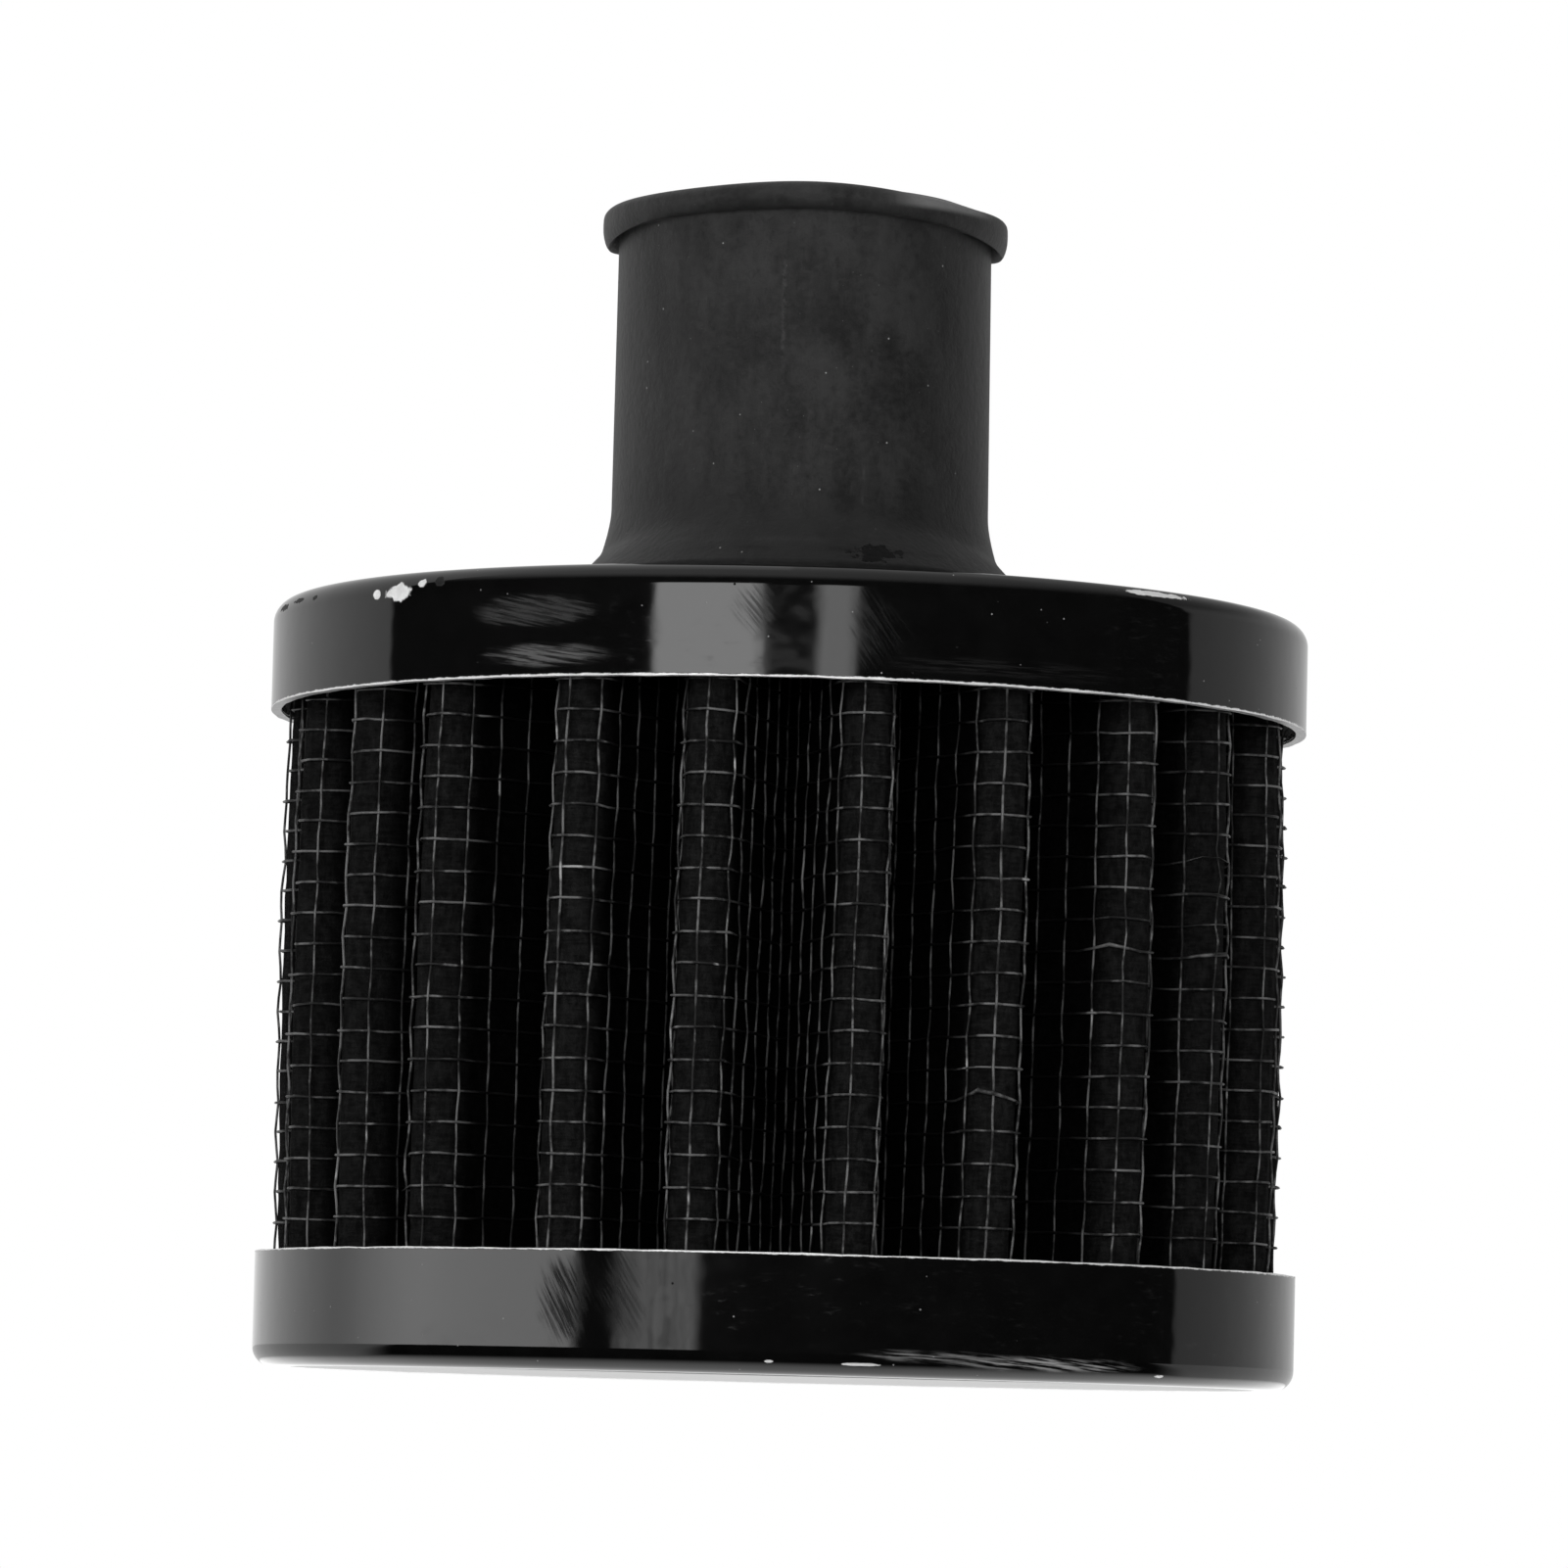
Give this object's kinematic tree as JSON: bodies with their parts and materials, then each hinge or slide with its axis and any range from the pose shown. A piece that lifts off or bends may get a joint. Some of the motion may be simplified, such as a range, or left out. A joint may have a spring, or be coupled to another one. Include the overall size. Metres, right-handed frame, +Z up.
{
  "type": "crankcase breather filter",
  "caption": "Push-on breather filter: a rubber neck on a round pleated, wire-mesh covered pack between two black steel caps.",
  "frame": {"origin": "middle of the bottom cap's outer face, which the filter stands on", "axes": "+Z up the neck's bore; -Y towards the side that the picture shows"},
  "size_m": [0.051, 0.051, 0.0579],
  "materials": {
    "rubber": "matte moulded rubber",
    "black_paint": "gloss black paint",
    "resin": "cast resin",
    "gauze": "dark gauze",
    "wire_mesh": "woven wire"
  },
  "bodies": {
    "root": {"neck": "rubber", "top_cap": "black_paint", "bottom_cap": "black_paint", "top_potting": "resin", "bottom_potting": "resin", "filter_media": "gauze", "outer_mesh": "wire_mesh", "inner_mesh": "wire_mesh"}
  },
  "joints": []
}
